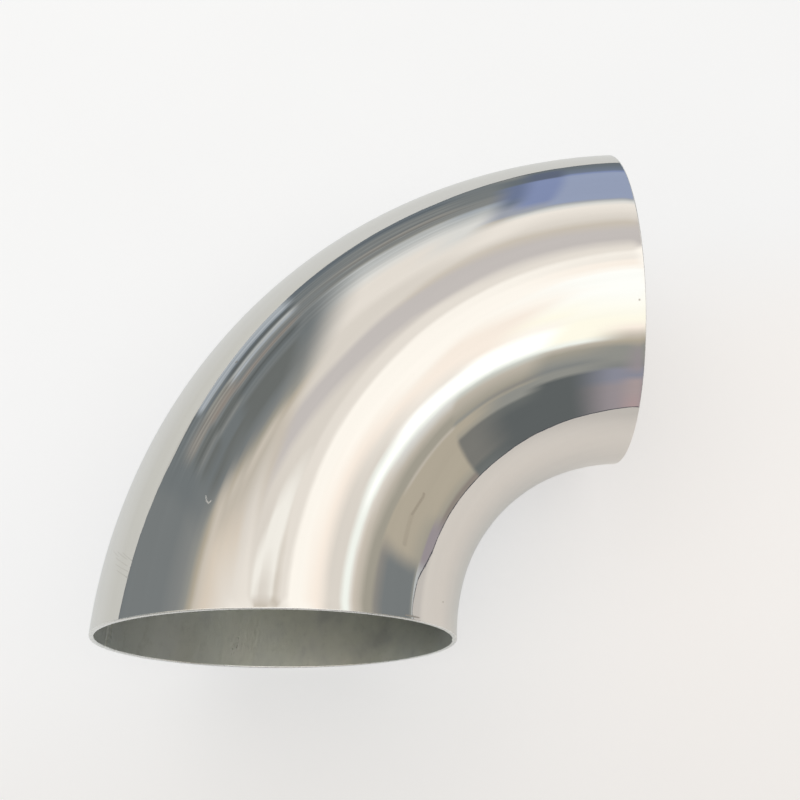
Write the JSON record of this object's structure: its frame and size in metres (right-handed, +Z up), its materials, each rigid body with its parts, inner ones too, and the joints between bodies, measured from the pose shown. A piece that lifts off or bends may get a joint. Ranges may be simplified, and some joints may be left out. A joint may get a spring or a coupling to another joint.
{
  "type": "pipe elbow",
  "caption": "Thin-wall polished stainless steel quarter-turn butt-weld pipe elbow with plain square ends, made of two pressed half shells and their seam welds.",
  "frame": {"origin": "bottom centre of the bounding box, on the surface that the elbow lies on", "axes": "+Z up, square to the plane of the bend; one open end faces -Y (front) and the other faces +X (right)"},
  "size_m": [0.166, 0.166, 0.108],
  "materials": {
    "polished_stainless": "polished",
    "seam_weld": "satin"
  },
  "bodies": {
    "root": {"upper_half_shell": "polished_stainless", "lower_half_shell": "polished_stainless", "outer_seam_weld": "seam_weld", "inner_seam_weld": "seam_weld"}
  },
  "joints": []
}
